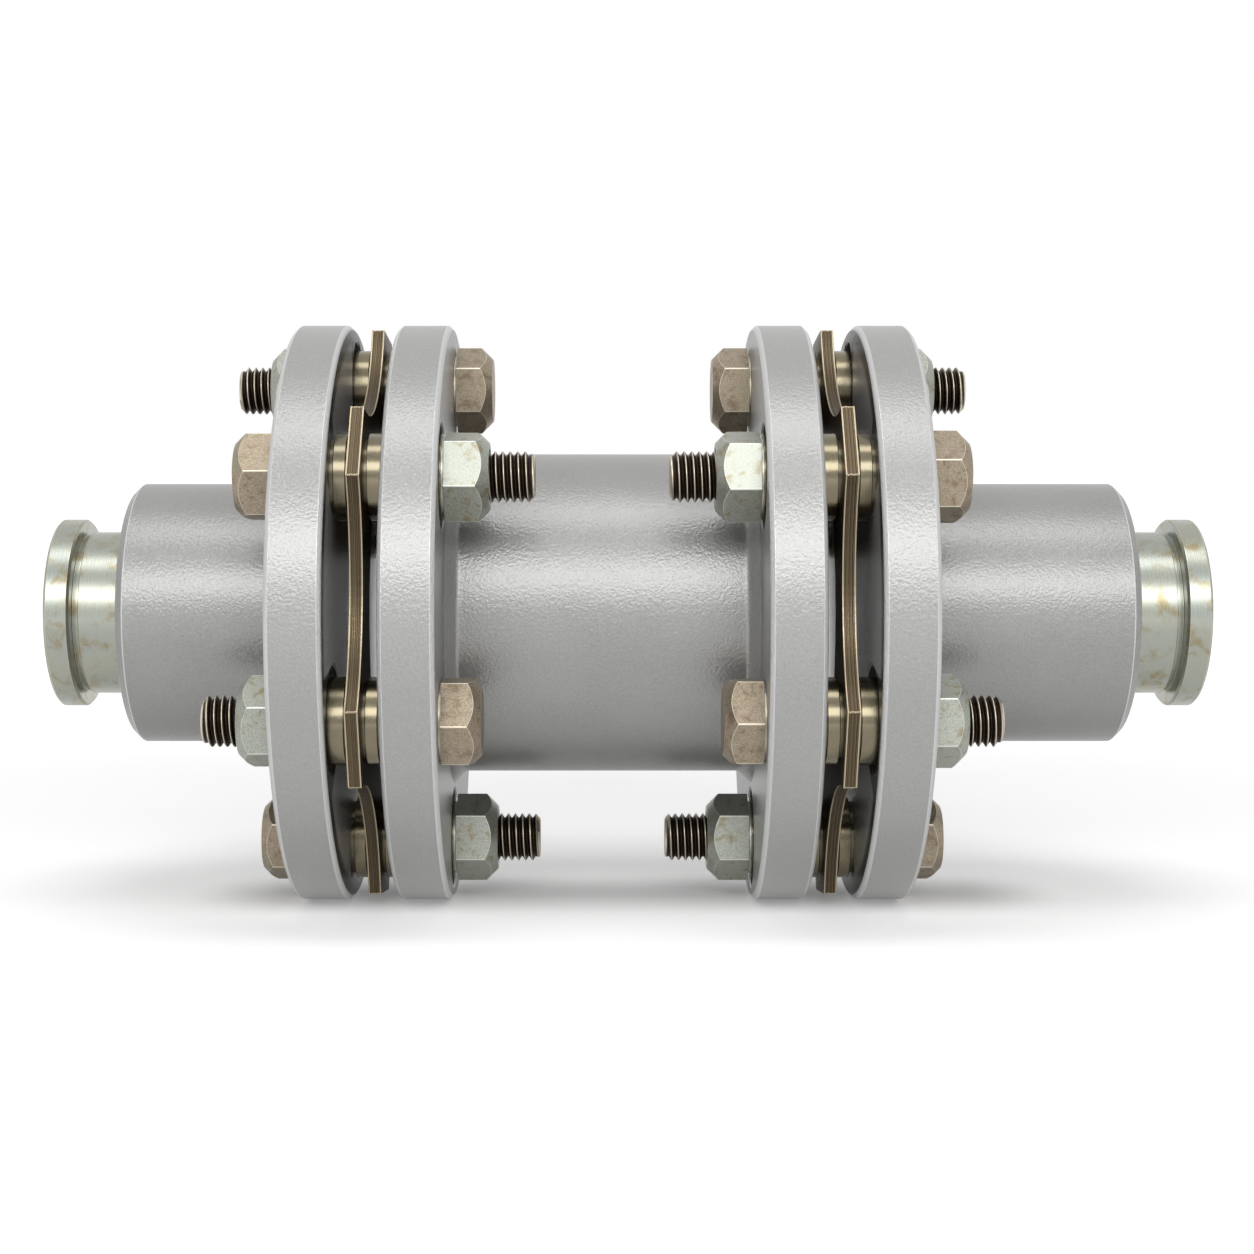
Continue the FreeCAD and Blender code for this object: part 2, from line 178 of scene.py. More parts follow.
def blend_colour(tree, mask, low, high):
    """A colour between two others; a mask of 0 gives low."""
    # The mix node keeps its colours on the inputs 6 and 7 and the output 2
    node = add_node(
        tree, "ShaderNodeMix", {0: mask, 6: opaque(low), 7: opaque(high)}, data_type="RGBA")
    return node.outputs[2]


def attribute(tree, name):
    """A number that the mesh holds on its points."""
    return add_node(tree, "ShaderNodeAttribute", attribute_name=name).outputs["Fac"]


def axial_lean(tree):
    """1 where a surface faces along the axis, 0 where it faces away from it."""
    geometry = tree.nodes.new("ShaderNodeNewGeometry")
    normal = add_node(tree, "ShaderNodeSeparateXYZ", {0: geometry.outputs["Normal"]})
    return arithmetic(tree, "ABSOLUTE", normal.outputs["X"])


def length_of(tree, vector):
    """The length of a vector socket."""
    node = add_node(tree, "ShaderNodeVectorMath", {0: vector}, operation="LENGTH")
    return node.outputs["Value"]


def spread(tree, value, low, high, to_low=0.0, to_high=1.0):
    """Stretches the part of a value between low and high over another range, smoothly."""
    node = add_node(
        tree, "ShaderNodeMapRange",
        {"Value": value, "From Min": low, "From Max": high, "To Min": to_low, "To Max": to_high},
        interpolation_type="SMOOTHSTEP",
    )
    return node.outputs["Result"]


def new_group(name, inputs, outputs):
    """A shader node group with named inputs (name: default) and float outputs."""
    tree = bpy.data.node_groups.new(name, "ShaderNodeTree")
    tree.interface.new_socket("Place", in_out="INPUT", socket_type="NodeSocketVector")
    for label, default in inputs.items():
        socket = tree.interface.new_socket(label, in_out="INPUT", socket_type="NodeSocketFloat")
        socket.default_value = default
    for label in outputs:
        tree.interface.new_socket(label, in_out="OUTPUT", socket_type="NodeSocketFloat")
    return tree, tree.nodes.new("NodeGroupInput").outputs, tree.nodes.new("NodeGroupOutput").inputs


def make_grain_group():
    """Fine even grain, from the size of one grain."""
    tree, given, result = new_group("grain", {"Grain Size": 0.5 * MM, "Contrast": 1.0}, ("Value",))
    scale = arithmetic(tree, "DIVIDE", 1.0, given["Grain Size"])
    noise = add_node(tree, "ShaderNodeTexNoise", {
        "Vector": given["Place"], "Scale": scale, "Detail": 2.5, "Roughness": 0.55,
    })
    centred = arithmetic(tree, "SUBTRACT", noise.outputs["Fac"], 0.5)
    scaled = arithmetic(tree, "MULTIPLY", centred, given["Contrast"])
    value = arithmetic(tree, "ADD", scaled, 0.5)
    tree.links.new(value, result["Value"])
    return tree


# A level that the blotches' noise seldom passes, and how far down full cover takes it
BLOTCH_LEVEL = 0.72
BLOTCH_RANGE = 0.44


def make_blotch_group():
    """Soft-edged patches, such as stains; Cover is the share of the surface under them."""
    tree, given, result = new_group(
        "blotches", {"Patch Size": 5 * MM, "Cover": 0.4, "Softness": 0.1}, ("Mask",))
    scale = arithmetic(tree, "DIVIDE", 1.0, given["Patch Size"])
    noise = add_node(tree, "ShaderNodeTexNoise", {
        "Vector": given["Place"], "Scale": scale, "Detail": 5.0, "Roughness": 0.62,
        "Distortion": 0.6,
    })
    lowered = arithmetic(tree, "MULTIPLY", given["Cover"], BLOTCH_RANGE)
    edge = arithmetic(tree, "SUBTRACT", BLOTCH_LEVEL, lowered)
    low = arithmetic(tree, "SUBTRACT", edge, given["Softness"])
    high = arithmetic(tree, "ADD", edge, given["Softness"])
    mask = spread(tree, noise.outputs["Fac"], low, high)
    tree.links.new(mask, result["Mask"])
    return tree


def make_turning_group():
    """Fine lines that run round the coupling's axis, as a lathe or a stack of sheets leaves them."""
    tree, given, result = new_group("turning_lines", {"Line Width": 0.2 * MM}, ("Height",))
    split = add_node(tree, "ShaderNodeSeparateXYZ", {0: given["Place"]})
    along = arithmetic(tree, "DIVIDE", split.outputs["X"], given["Line Width"])
    wander = add_node(tree, "ShaderNodeTexNoise", {"Vector": given["Place"], "Scale": 60.0})
    shifted = arithmetic(tree, "ADD", along, wander.outputs["Fac"])
    lines = add_node(tree, "ShaderNodeTexNoise", {"W": shifted, "Scale": 1.0, "Detail": 2.0},
                     noise_dimensions="1D")
    tree.links.new(lines.outputs["Fac"], result["Height"])
    return tree


GRAIN = make_grain_group()
BLOTCHES = make_blotch_group()
TURNING = make_turning_group()


def use_group(tree, group, output, **inputs):
    """Places a node group and gives one of its outputs; input names have _ for a space."""
    node = tree.nodes.new("ShaderNodeGroup")
    node.node_tree = group
    for name, source in inputs.items():
        feed(tree, node.inputs[name.replace("_", " ")], source)
    return node.outputs[output]


def grain(tree, place, size, contrast):
    """Even grain between 0 and 1; see make_grain_group."""
    return use_group(tree, GRAIN, "Value", Place=place, Grain_Size=size, Contrast=contrast)


def blotches(tree, place, size, cover, softness):
    """1 on patches, 0 between them; see make_blotch_group."""
    return use_group(
        tree, BLOTCHES, "Mask", Place=place, Patch_Size=size, Cover=cover, Softness=softness)


def turning_lines(tree, place, width):
    """The height of fine lines round the axis; see make_turning_group."""
    return use_group(tree, TURNING, "Height", Place=place, Line_Width=width)


def new_material(name, **constants):
    """A material with a Principled shader; constants go on the shader's own sockets."""
    material = bpy.data.materials.new(name)
    material.use_nodes = True
    tree = material.node_tree
    shader = next(node for node in tree.nodes if node.type == "BSDF_PRINCIPLED")
    for label, constant in constants.items():
        shader.inputs[label.replace("_", " ")].default_value = constant
    place = tree.nodes.new("ShaderNodeTexCoord").outputs["Object"]
    return material, tree, shader, place


def bump(tree, shader, height, distance, strength=1.0):
    """Fine relief from a height between 0 and 1."""
    node = add_node(tree, "ShaderNodeBump", {
        "Height": height, "Distance": distance, "Strength": strength,
    })
    tree.links.new(node.outputs["Normal"], shader.inputs["Normal"])


# Bends from which an edge's painted highlight shows and from which it shows in full
FAINT_BEND = radians(4)
FULL_BEND = radians(10)
# A chamfer's lean, and how far from it a slope still counts in full and no longer counts
CHAMFER_LEAN = 0.6
FULL_LEAN_OFF = 0.2
NO_LEAN_OFF = 0.34


def edge_mask(tree):
    """1 along the rounded edges of a piece, 0 on its flats, where the finishes paint highlights; see
    mark_edges.
    """
    return spread(tree, attribute(tree, "edge"), FAINT_BEND, FULL_BEND)


def chamfer_mask(tree):
    """1 where a surface slopes between facing along the axis and facing away from it."""
    off = arithmetic(tree, "SUBTRACT", axial_lean(tree), CHAMFER_LEAN)
    return spread(tree, arithmetic(tree, "ABSOLUTE", off), NO_LEAN_OFF, FULL_LEAN_OFF)


def pack_face_mask(tree, place):
    """1 on the flange faces that look at a disc pack, which are darkened there as painted shade for
    the gap.
    """
    split = add_node(tree, "ShaderNodeSeparateXYZ", {0: place}).outputs
    along = arithmetic(tree, "ABSOLUTE", arithmetic(tree, "SUBTRACT", split["X"], CENTRE_SHIFT))
    off = arithmetic(tree, "ABSOLUTE", arithmetic(tree, "SUBTRACT", along, PACK_MIDDLE))
    edge = FLANGE_GAP / 2
    return spread(tree, off, edge + FLANGE_CHAMFER / 2, edge)


def make_silver_paint():
    """Satin silver-grey paint with an orange peel. Painted light makes it lighter on the flange
    rims, with a painted highlight along the rims' chamfers and the rounded edges, and painted shade
    darkens the flange faces toward the disc packs.
    """
    body_dark, body_light = (0.32, 0.32, 0.315), (0.40, 0.398, 0.39)
    lit_rim_dark, lit_rim_light = (0.38, 0.38, 0.375), (0.47, 0.468, 0.46)
    cloudy, painted_gap_shade, painted_highlight = (0.42, 0.42, 0.415), (0.055, 0.054, 0.05), (0.90, 0.90, 0.90)
    material, tree, shader, place = new_material("silver_paint", Metallic=0.4)
    flakes = grain(tree, place, 0.45 * MM, 2.4)
    cloud = grain(tree, place, 16 * MM, 1.4)
    across = add_node(tree, "ShaderNodeVectorMath", {0: place, 1: (0, 1, 1)}, operation="MULTIPLY")
    radius = length_of(tree, across.outputs[0])
    # Painted light: the flange rims get a lighter copy of the paint than the tube and barrels, which
    # stand in the flanges' shade.
    rim = spread(tree, radius, FLANGE_RADIUS - 2 * FLANGE_CHAMFER, FLANGE_RADIUS)
    body = blend_colour(tree, flakes, body_dark, body_light)
    bright = blend_colour(tree, flakes, lit_rim_dark, lit_rim_light)
    base = blend_colour(tree, rim, body, bright)
    shade = spread(tree, cloud, 0.25, 0.75, 0.0, 0.25)
    clouded = blend_colour(tree, shade, base, cloudy)
    # Painted shade: the flange faces toward the disc packs are darkened nearly to black, standing in
    # for the shade in the gaps.
    thin = blend_colour(tree, pack_face_mask(tree, place), clouded, painted_gap_shade)
    # Painted highlight: a near-white line along the rims' chamfers and along the rounded edges.
    chamfer_highlight = arithmetic(tree, "MULTIPLY", chamfer_mask(tree), rim)
    line = arithmetic(tree, "MAXIMUM", chamfer_highlight, edge_mask(tree))
    colour = blend_colour(tree, arithmetic(tree, "MULTIPLY", line, 0.65), thin, painted_highlight)
    feed(tree, shader.inputs["Base Color"], colour)
    feed(tree, shader.inputs["Roughness"], spread(tree, flakes, 0.1, 0.9, 0.30, 0.38))
    bump(tree, shader, grain(tree, place, 0.72 * MM, 1.2), 0.11 * MM)
    return material


def make_yellow_plate():
    """Pale yellow zinc plate of the sleeves, with blue-grey tints, brown stains and a painted
    highlight along its rounded edges.
    """
    yellow, blue_grey = (0.365, 0.36, 0.295), (0.33, 0.36, 0.33)
    brown, sleeve_edge_highlight = (0.28, 0.235, 0.14), (0.62, 0.55, 0.38)
    material, tree, shader, place = new_material("yellow_plate", Metallic=0.95)
    tint = blotches(tree, place, 16 * MM, 0.5, 0.25)
    stain = blotches(tree, place, 5 * MM, 0.28, 0.12)
    plate = blend_colour(tree, tint, yellow, blue_grey)
    stained = blend_colour(tree, stain, plate, brown)
    # Painted highlight: a light colour along the sleeve's rounded edges.
    edge_lit = arithmetic(tree, "MULTIPLY", edge_mask(tree), 0.6)
    feed(tree, shader.inputs["Base Color"], blend_colour(tree, edge_lit, stained, sleeve_edge_highlight))
    lines = turning_lines(tree, place, 0.25 * MM)
    feed(tree, shader.inputs["Roughness"], spread(tree, lines, 0.2, 0.8, 0.24, 0.34))
    bump(tree, shader, lines, 0.005 * MM, 0.5)
    return material


def make_spring_steel():
    """Brown-streaked spring steel of the discs, with a painted highlight along the outermost cut
    edges.
    """
    groove, sheet = (0.05, 0.035, 0.02), (0.165, 0.125, 0.075)
    speck, edge_highlight = (0.135, 0.105, 0.065), (0.46, 0.39, 0.27)
    material, tree, shader, place = new_material("spring_steel", Metallic=0.85)
    lines = turning_lines(tree, place, 0.4 * MM)
    specks = grain(tree, place, 0.4 * MM, 1.6)
    base = blend_colour(tree, spread(tree, lines, 0.35, 0.65), groove, sheet)
    mottled = blend_colour(tree, spread(tree, specks, 0.4, 1.0), base, speck)
    # Painted highlight: the rims of the outermost discs are lighter along their cut edges.
    rim = spread(tree, axial_lean(tree), 0.9, 0.5)
    cut_edge_highlight = arithmetic(tree, "MULTIPLY", edge_mask(tree), rim)
    feed(tree, shader.inputs["Base Color"], blend_colour(tree, cut_edge_highlight, mottled, edge_highlight))
    feed(tree, shader.inputs["Roughness"], spread(tree, specks, 0.2, 0.8, 0.34, 0.5))
    bump(tree, shader, lines, 0.01 * MM, 0.6)
    return material


def make_bronze_plate():
    """Beige-bronze passivated bolts, with a painted highlight along their edges and painted shade in
    their thread grooves.
    """
    beige, pinkish = (0.43, 0.375, 0.265), (0.43, 0.335, 0.27)
    speck, brown = (0.23, 0.195, 0.14), (0.16, 0.11, 0.065)
    edge_highlight, groove = (0.70, 0.64, 0.52), (0.02, 0.012, 0.007)
    material, tree, shader, place = new_material("bronze_plate", Metallic=0.8)
    specks = grain(tree, place, 0.3 * MM, 2.0)
    tint = blotches(tree, place, 7 * MM, 0.5, 0.2)
    stain = arithmetic(tree, "MULTIPLY", blotches(tree, place, 3 * MM, 0.3, 0.1), 0.65)
    plate = blend_colour(tree, tint, beige, pinkish)
    mottled = blend_colour(tree, spread(tree, specks, 0.1, 0.9), speck, plate)
    stained = blend_colour(tree, stain, mottled, brown)
    # Painted highlight: a light colour along the rounded edges.
    edged = blend_colour(tree, edge_mask(tree), stained, edge_highlight)
    # Painted shade: the thread's grooves go nearly black with their depth.
    thread_shade = spread(tree, attribute(tree, "recess"), 0.08, 0.4)
    feed(tree, shader.inputs["Base Color"], blend_colour(tree, thread_shade, edged, groove))
    feed(tree, shader.inputs["Roughness"], spread(tree, specks, 0.2, 0.8, 0.38, 0.5))
    bump(tree, shader, specks, 0.015 * MM, 0.6)
    return material


def make_pale_zinc():
    """Pale greenish zinc of the nuts, with fine speckle, yellow-brown stains and a painted highlight
    along its edges.
    """
    dark, light = (0.28, 0.30, 0.265), (0.46, 0.47, 0.41)
    yellow_brown, edge_highlight = (0.25, 0.20, 0.09), (0.66, 0.69, 0.64)
    material, tree, shader, place = new_material("pale_zinc", Metallic=0.8)
    specks = grain(tree, place, 0.28 * MM, 2.2)
    stain = arithmetic(tree, "MULTIPLY", blotches(tree, place, 3 * MM, 0.28, 0.08), 0.7)
    plate = blend_colour(tree, spread(tree, specks, 0.1, 0.9), dark, light)
    stained = blend_colour(tree, stain, plate, yellow_brown)
    # Painted highlight: a light colour along the rounded edges.
    colour = blend_colour(tree, edge_mask(tree), stained, edge_highlight)
    feed(tree, shader.inputs["Base Color"], colour)
    feed(tree, shader.inputs["Roughness"], spread(tree, specks, 0.2, 0.8, 0.34, 0.48))
    bump(tree, shader, specks, 0.015 * MM, 0.6)
    return material


def make_gilt_plate():
    """Thinly yellow-plated washers and bushes, satin."""
    golden, greyish, speck = (0.235, 0.2, 0.13), (0.19, 0.175, 0.13), (0.18, 0.155, 0.105)
    material, tree, shader, place = new_material("gilt_plate", Metallic=1.0)
    specks = grain(tree, place, 0.5 * MM, 1.0)
    plate = blend_colour(tree, blotches(tree, place, 8 * MM, 0.5, 0.2), golden, greyish)
    mottled = blend_colour(tree, spread(tree, specks, 0.1, 0.9), speck, plate)
    feed(tree, shader.inputs["Base Color"], mottled)
    feed(tree, shader.inputs["Roughness"], spread(tree, specks, 0.2, 0.8, 0.16, 0.26))
    bump(tree, shader, turning_lines(tree, place, 0.2 * MM), 0.01 * MM, 0.5)
    return material


PAINT = make_silver_paint()
YELLOW_PLATE = make_yellow_plate()
SPRING_STEEL = make_spring_steel()
BRONZE_PLATE = make_bronze_plate()
PALE_ZINC = make_pale_zinc()
GILT_PLATE = make_gilt_plate()


# Mesh helpers

def soften(corners):
    """A closed outline through corners given as (across, up, rounding).

    Each arc gets a short straight shoulder on both sides, so that its shading stays on it.
    """
    points = []
    count = len(corners)
    for index, (across, up, rounding) in enumerate(corners):
        here = Vector((across, up))
        if not rounding:
            points.append(here)
            continue
        back = (Vector(corners[index - 1][:2]) - here).normalized()
        ahead = (Vector(corners[(index + 1) % count][:2]) - here).normalized()
        half = back.angle(ahead) / 2
        reach = rounding / tan(half)
        centre = here + (back + ahead).normalized() * rounding / sin(half)
        start, end = here + back * reach - centre, here + ahead * reach - centre
        shoulder = rounding / 2
        points.append(centre + start + back * shoulder)
        for step in range(ROUNDING_STEPS + 1):
            share = step / ROUNDING_STEPS
            points.append(centre + (start * (1 - share) + end * share).normalized() * rounding)
        points.append(centre + end + ahead * shoulder)
    return points


def spin(x, radius, angle):
    """A point at an angle from the top, round the axis."""
    return Vector((x, -radius * sin(angle), radius * cos(angle)))


def mark_edges(shape, only=lambda edge: True):
    """Writes on each vertex how sharply the surface bends outward there, in radians."""
    bends = shape.verts.layers.float.get("edge") or shape.verts.layers.float.new("edge")
    for vertex in shape.verts:
        angles = [edge.calc_face_angle_signed(0) for edge in vertex.link_edges if only(edge)]
        vertex[bends] = max(angles, default=0)


def rise(edge):
    """How far an edge runs along the axis."""
    return abs(edge.verts[0].co.x - edge.verts[1].co.x)


def is_turned(edge):
    """Whether an edge lies on a circle round the axis, as a lathe leaves it and a drill doesn't."""
    near, far = (vertex.co.yz.length for vertex in edge.verts)
    return rise(edge) < WELD_DISTANCE and abs(near - far) < WELD_DISTANCE


def to_mesh(shape, name, only=lambda edge: True):
    """Welds a shape's doubles, turns its faces outward and shades it smooth between sharp edges."""
    bmesh.ops.remove_doubles(shape, verts=shape.verts, dist=WELD_DISTANCE)
    bmesh.ops.recalc_face_normals(shape, faces=shape.faces)
    mark_edges(shape, only)
    mesh = bpy.data.meshes.new(name)
    shape.to_mesh(mesh)
    shape.free()
    mesh.shade_smooth()
    mesh.set_sharp_from_angle(angle=SHARP_ANGLE)
    return mesh


def skin(name, columns):
    """A closed surface through columns of points; the last column lies on the first."""
    shape = bmesh.new()
    rows = [[shape.verts.new(point) for point in column] for column in columns]
    for near, far in zip(rows, rows[1:]):
        for step in range(len(near) - 1):
            shape.faces.new((near[step], near[step + 1], far[step + 1], far[step]))
        shape.faces.new((near[-1], near[0], far[0], far[-1]))
    return to_mesh(shape, name)


def lined(corners):
    """An outline with a point beside each end of its long straights, where an edge's painted
    highlight ends.
    """
    points = []
    for corner, following in zip(corners, corners[1:] + corners[:1]):
        points.append(corner)
        start, end = Vector(corner[:2]), Vector(following[:2])
        step = end - start
        if step.length > 3 * EDGE_LINE:
            aside = step.normalized() * EDGE_LINE
            points += [(*(start + aside), 0), (*(end - aside), 0)]
    return points


def circle_points(radius, count):
    """Points round the axis, in the plane x = 0."""
    return [spin(0, radius, 2 * pi * step / count) for step in range(count)]


def lathe(name, corners, segments):
    """Turns an outline of (x, radius, rounding) corners about the axis."""
    outline = soften(corners)
    angles = [2 * pi * step / segments for step in range(segments + 1)]
    return skin(name, [[spin(x, radius, angle) for x, radius in outline] for angle in angles])


def joined(name, meshes):
    """One mesh out of several."""
    shape = bmesh.new()
    for mesh in meshes:
        shape.from_mesh(mesh)
        bpy.data.meshes.remove(mesh)
    return to_mesh(shape, name)


def new_piece(name, data):
    """An object of the scene that shows a mesh, a camera or a lamp."""
    piece = bpy.data.objects.new(name, data)
    bpy.context.scene.collection.objects.link(piece)
    return piece


def worked_in(piece):
    """The plain mesh of a piece with its modifiers worked in; the piece itself goes."""
    depsgraph = bpy.context.evaluated_depsgraph_get()
    mesh = bpy.data.meshes.new_from_object(piece.evaluated_get(depsgraph), depsgraph=depsgraph)
    bpy.data.objects.remove(piece)
    return mesh


def cut(name, mesh, cutter_mesh):
    """A mesh with another cut out of it; its turned edges are marked, and the cut's aren't."""
    piece, cutter = new_piece(name, mesh), new_piece(f"{name}_cutter", cutter_mesh)
    modifier = piece.modifiers.new("holes", "BOOLEAN")
    modifier.object = cutter
    modifier.solver = "EXACT"
    result = worked_in(piece)
    bpy.data.objects.remove(cutter)
    shape = bmesh.new()
    shape.from_mesh(result)
    return to_mesh(shape, name, is_turned)


def spool(radius, low, high, angle):
    """What a drill and a countersink take out of a flange between two planes."""
    over = HOLE_CHAMFER
    corners = (
        (low - over, 0, 0),
        (low - over, radius + HOLE_CHAMFER + over, 0),
        (low + HOLE_CHAMFER, radius, 0),
        (high - HOLE_CHAMFER, radius, 0),
        (high + over, radius + HOLE_CHAMFER + over, 0),
        (high + over, 0, 0),
    )
    mesh = lathe("spool", corners, HOLE_SEGMENTS)
    mesh.transform(Matrix.Translation(spin(0, BOLT_CIRCLE_RADIUS, angle)))
    return mesh


def drilled(name, mesh, flanges, close_angle):
    """Drills the bolt circle: close holes from one angle on, and wide ones between them."""
    cutters = []
    for low, high in flanges:
        for step in range(BOLT_COUNT):
            radius = CLEARANCE_HOLE_RADIUS if step % 2 else BOLT_HOLE_RADIUS
            cutters.append(spool(radius, low, high, close_angle + step * BOLT_STEP))
    return cut(name, mesh, joined("spools", cutters))


def finished(name, mesh, material, replaced, side):
    """A piece of the coupling: placed on its side, dressed, and riding on the part."""
    mesh.transform(SIDES[side])
    mesh.materials.clear()
    mesh.materials.append(material)
    piece = new_piece(name, mesh)
    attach(piece, "root")
    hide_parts(replaced)


# Pieces turned on a lathe

def make_spacer():
    """The tube with a flange at each end and its small weld fillets."""
    edge = CHAMFER_ROUNDING
    half = (
        (SPACER_BACK - WELD_LEG, TUBE_RADIUS, WELD_LEG / 2),
        (SPACER_BACK, TUBE_RADIUS + WELD_LEG, edge),
        (SPACER_BACK, FLANGE_RADIUS - FLANGE_CHAMFER, edge),
        (SPACER_BACK + FLANGE_CHAMFER, FLANGE_RADIUS, edge),
        (SPACER_FACE - FLANGE_CHAMFER, FLANGE_RADIUS, edge),
        (SPACER_FACE, FLANGE_RADIUS - FLANGE_CHAMFER, edge),
        (SPACER_FACE, TUBE_BORE_RADIUS, edge),
    )
    mirrored = tuple((-x, radius, rounding) for x, radius, rounding in reversed(half))
    blank = lathe("spacer", half + mirrored, FLANGE_SEGMENTS)
    flanges = ((SPACER_BACK, SPACER_FACE), (-SPACER_FACE, -SPACER_BACK))
    mesh = drilled("spacer", blank, flanges, 0)
    finished("spacer_tube_and_flanges", mesh, PAINT, "centre_spacer", "right")


def make_hub(side):
    """A flange and a barrel; the wide holes lie where the spacer has close ones."""
    edge = CHAMFER_ROUNDING
    end = HUB_FACE + HUB_LENGTHS[side]
    blank = lathe("hub", (
        (HUB_FACE, HUB_BORE_RADIUS, 0),
        (HUB_FACE, FLANGE_RADIUS - FLANGE_CHAMFER, edge),
        (HUB_FACE + FLANGE_CHAMFER, FLANGE_RADIUS, edge),
        (HUB_BACK - FLANGE_CHAMFER, FLANGE_RADIUS, edge),
        (HUB_BACK, FLANGE_RADIUS - FLANGE_CHAMFER, edge),
        (HUB_BACK, BARREL_RADIUS, BARREL_FILLET),
        (end - BARREL_CHAMFER, BARREL_RADIUS, 2 * edge),
        (end, BARREL_RADIUS - BARREL_CHAMFER, 2 * edge),
        (end, HUB_BORE_RADIUS, edge),
    ), FLANGE_SEGMENTS)
    mesh = drilled("hub", blank, ((HUB_FACE, HUB_BACK),), BOLT_STEP)
    finished(f"{side}_hub_body", mesh, PAINT, f"{side}_hub", side)


def make_sleeve(side):
    """A sleeve with its rim, relief groove, shaft bore and keyway."""
    edge = TURNED_ROUNDING
    neck = HUB_BORE_RADIUS - SLEEVE_FIT
    rim_back = HUB_FACE + HUB_LENGTHS[side] + SLEEVE_REACH
    rim_face = rim_back + SLEEVE_RIM_THICKNESS
    blank = lathe("sleeve", lined((
        (HUB_FACE + BORE_CHAMFER, SHAFT_BORE_RADIUS, 0),
        (HUB_FACE, SHAFT_BORE_RADIUS + BORE_CHAMFER, 0),
        (HUB_FACE, neck, 0),
        (rim_back - RELIEF_WIDTH, neck, edge),
        (rim_back - RELIEF_WIDTH, neck - RELIEF_DEPTH, edge),
        (rim_back, neck - RELIEF_DEPTH, edge),
        (rim_back, SLEEVE_RIM_RADIUS - SLEEVE_RIM_CHAMFER, edge),
        (rim_back + SLEEVE_RIM_CHAMFER, SLEEVE_RIM_RADIUS, edge),
        (rim_face - SLEEVE_RIM_CHAMFER, SLEEVE_RIM_RADIUS, edge),
        (rim_face, SLEEVE_RIM_RADIUS - SLEEVE_RIM_CHAMFER, edge),
        (rim_face, SHAFT_BORE_RADIUS + BORE_CHAMFER, edge),
        (rim_face - BORE_CHAMFER, SHAFT_BORE_RADIUS, edge),
    )), SLEEVE_SEGMENTS)
    # The keyway's cutter reaches from the axis to its floor, and past both ends of the sleeve
    length = 2 * SLEEVE_RIM_THICKNESS + rim_face - HUB_FACE
    height = SHAFT_BORE_RADIUS + KEYWAY_DEPTH
    middle = Matrix.Translation(((HUB_FACE + rim_face) / 2, 0, height / 2))
    key = middle @ Matrix.Diagonal((length, KEYWAY_WIDTH, height, 1))
    shape = bmesh.new()
    bmesh.ops.create_cube(shape, size=1, matrix=key)
    mesh = cut("sleeve", blank, to_mesh(shape, "keyway"))
    finished(f"{side}_sleeve", mesh, YELLOW_PLATE, f"{side}_bore_sleeve", side)


def washer_mesh():
    """A thick washer, turned down to a seat at both ends."""
    edge = TURNED_ROUNDING
    seat = WASHER_RADIUS - SEAT_STEP
    far_seat = WASHER_THICKNESS - SEAT_WIDTH
    return lathe("washer", (
        (0, BOLT_HOLE_RADIUS, 0),
        (0, seat, 0),
        (SEAT_WIDTH, seat, 0),
        (SEAT_WIDTH, WASHER_RADIUS, edge),
        (far_seat, WASHER_RADIUS, edge),
        (far_seat, seat, 0),
        (WASHER_THICKNESS, seat, 0),
        (WASHER_THICKNESS, BOLT_HOLE_RADIUS, 0),
    ), WASHER_SEGMENTS)


def bush_mesh(length):
    """A bush that reaches from the disc pack, where it is turned down, to the nut."""
    edge = TURNED_ROUNDING
    seat = WASHER_RADIUS - SEAT_STEP
    return lathe("bush", (
        (0, BOLT_HOLE_RADIUS, 0),
        (0, seat, 0),
        (SEAT_WIDTH, seat, 0),
        (SEAT_WIDTH, WASHER_RADIUS, edge),
        (length, WASHER_RADIUS, edge),
        (length, BOLT_HOLE_RADIUS, 0),
    ), WASHER_SEGMENTS)


# Hexagons and threads

# Where a corner's rounding has its centre, and how far it goes to each side of the corner
CORNER_CENTRE = (APOTHEM - HEXAGON_ROUNDING) / cos(pi / 6)
ROUND_ANGLE = atan(
    HEXAGON_ROUNDING * sin(pi / 6) / (CORNER_CENTRE + HEXAGON_ROUNDING * cos(pi / 6)))
# Angles from a corner at which the flats have points, in degrees; 30 is a flat's middle
FLAT_OFFSETS = (1.6, 3.5, 7, 12, 18, 24)


def hexagon_angles():
    """Angles round a hexagon from one corner back to itself, close together at the corners."""
    rounded = [share * degrees(ROUND_ANGLE) for share in (-1, -0.5, 0, 0.5, 1)]
    around = [-offset for offset in reversed(FLAT_OFFSETS)] + rounded + list(FLAT_OFFSETS) + [30]
    angles = [radians(60 * corner + offset) for corner in range(6) for offset in around]
    return angles + [angles[0] + 2 * pi]


def hexagon_distance(angle):
    """How far the rounded outline is from the axis, at an angle from a corner."""
    offset = abs((angle + pi / 6) % (pi / 3) - pi / 6)
    if offset > ROUND_ANGLE:
        return APOTHEM / cos(pi / 6 - offset)
    return CORNER_CENTRE * cos(offset) + sqrt(
        HEXAGON_ROUNDING ** 2 - (CORNER_CENTRE * sin(offset)) ** 2)


def hexagon_side(distance, height):
    """The outline of a hexagon's side at one angle, from its chamfered end to its seat at x = 0."""
    drop = (distance - LAND_RADIUS) * tan(LAND_SLOPE)
    return (
        (height, LAND_RADIUS, TURNED_ROUNDING),
        (height - drop, distance, TURNED_ROUNDING),
        (SEAT_FACE_HEIGHT, distance, TURNED_ROUNDING),
        (SEAT_FACE_HEIGHT, SEAT_FACE_RADIUS, 0),
        (0, SEAT_FACE_RADIUS, 0),
    )


